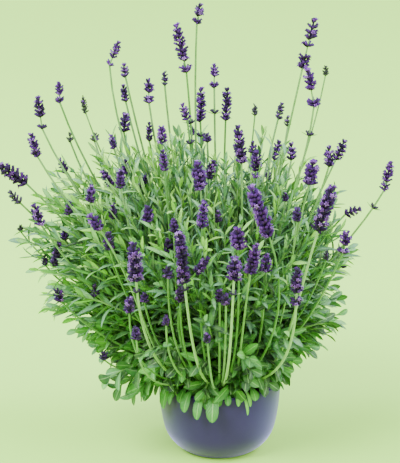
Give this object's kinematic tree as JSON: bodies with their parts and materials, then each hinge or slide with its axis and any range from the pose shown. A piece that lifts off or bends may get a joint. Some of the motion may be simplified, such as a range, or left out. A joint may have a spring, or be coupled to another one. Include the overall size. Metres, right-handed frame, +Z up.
{
  "type": "potted lavender",
  "caption": "Lavender in flower: a fan of thin stalks with violet spikes over narrow grey-green leaves, in a black grow pot inside a low round glazed cover pot.",
  "frame": {"origin": "middle of the cover pot's flat base, on the surface that it stands on", "axes": "+Z up along the pot's axis, -Y towards the front of the plant, +X to the right of someone who faces the front"},
  "size_m": [0.4537, 0.3822, 0.5309],
  "materials": {
    "glaze": "satin",
    "black_plastic": "matte",
    "potting_soil": "matte",
    "foliage": "satin",
    "petals": "matte"
  },
  "bodies": {
    "root": {"pot": "glaze", "grow_pot": "black_plastic", "soil": "potting_soil", "clump_back_right": "foliage", "clump_back": "foliage", "clump_back_left": "foliage", "clump_front_left": "foliage", "clump_front": "foliage", "clump_front_right": "foliage", "flower_head_01": "petals", "flower_head_02": "petals", "flower_head_03": "petals", "flower_head_04": "petals", "flower_head_05": "petals", "flower_head_06": "petals", "flower_head_07": "petals", "flower_head_08": "petals", "flower_head_09": "petals", "flower_head_10": "petals", "flower_head_11": "petals", "flower_head_12": "petals", "flower_head_13": "petals", "flower_head_14": "petals", "flower_head_15": "petals", "flower_head_16": "petals", "flower_head_17": "petals", "flower_head_18": "petals", "flower_head_19": "petals", "flower_head_20": "petals", "flower_head_21": "petals", "flower_head_22": "petals", "flower_head_23": "petals", "flower_head_24": "petals", "flower_head_25": "petals", "flower_head_26": "petals", "flower_head_27": "petals", "flower_head_28": "petals", "flower_head_29": "petals", "flower_head_30": "petals", "flower_head_31": "petals", "flower_head_32": "petals", "flower_head_33": "petals", "flower_head_34": "petals", "flower_head_35": "petals", "flower_head_36": "petals", "flower_head_37": "petals", "flower_head_38": "petals", "flower_head_39": "petals", "flower_head_40": "petals", "flower_head_41": "petals", "flower_head_42": "petals", "flower_head_43": "petals", "flower_head_44": "petals", "flower_head_45": "petals", "flower_head_46": "petals", "flower_head_47": "petals", "flower_head_48": "petals", "flower_head_49": "petals", "flower_head_50": "petals"}
  },
  "joints": []
}
